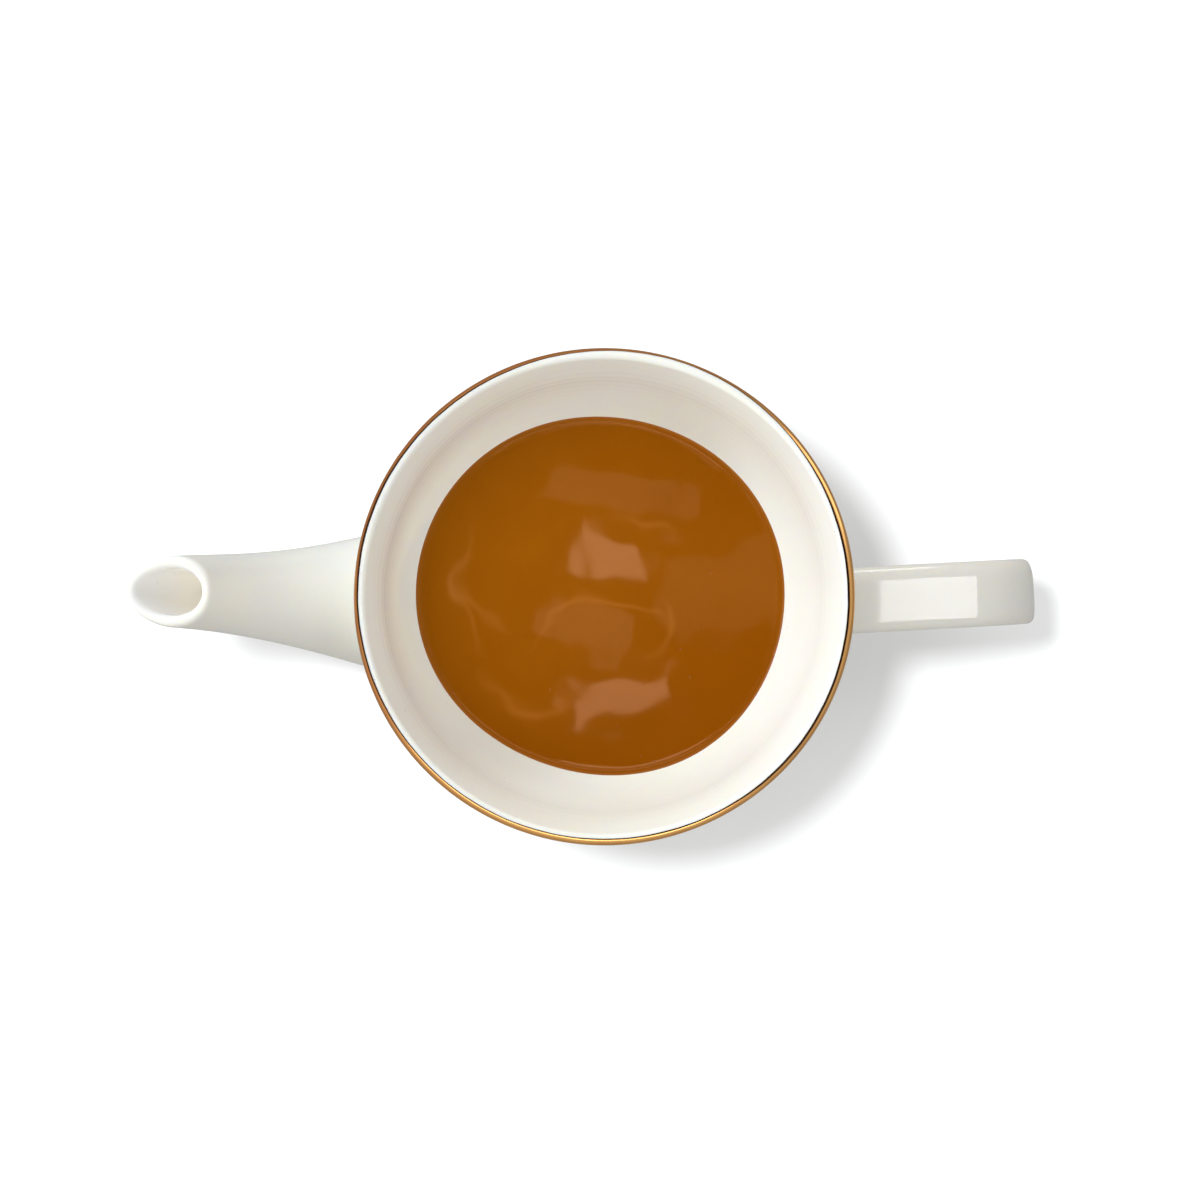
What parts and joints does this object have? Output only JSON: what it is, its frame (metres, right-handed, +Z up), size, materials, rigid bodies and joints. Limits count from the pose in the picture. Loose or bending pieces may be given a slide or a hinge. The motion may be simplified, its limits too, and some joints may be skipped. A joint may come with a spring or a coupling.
{
  "type": "teapot of tea with milk",
  "caption": "Small white china teapot with its lid off, part filled with milky tea, with a swan-neck spout, a flat strap handle and a gold line on the lip.",
  "frame": {"origin": "centre of the foot ring's ground plane, on the axis of the bowl", "axes": "+Z up, spout along -X, handle along +X"},
  "size_m": [0.1933, 0.105, 0.07],
  "materials": {
    "china": "gloss",
    "tea": "gloss",
    "gilt": "polished"
  },
  "bodies": {
    "root": {"pot": "china", "tea": "tea", "gilt_rim": "gilt"}
  },
  "joints": []
}
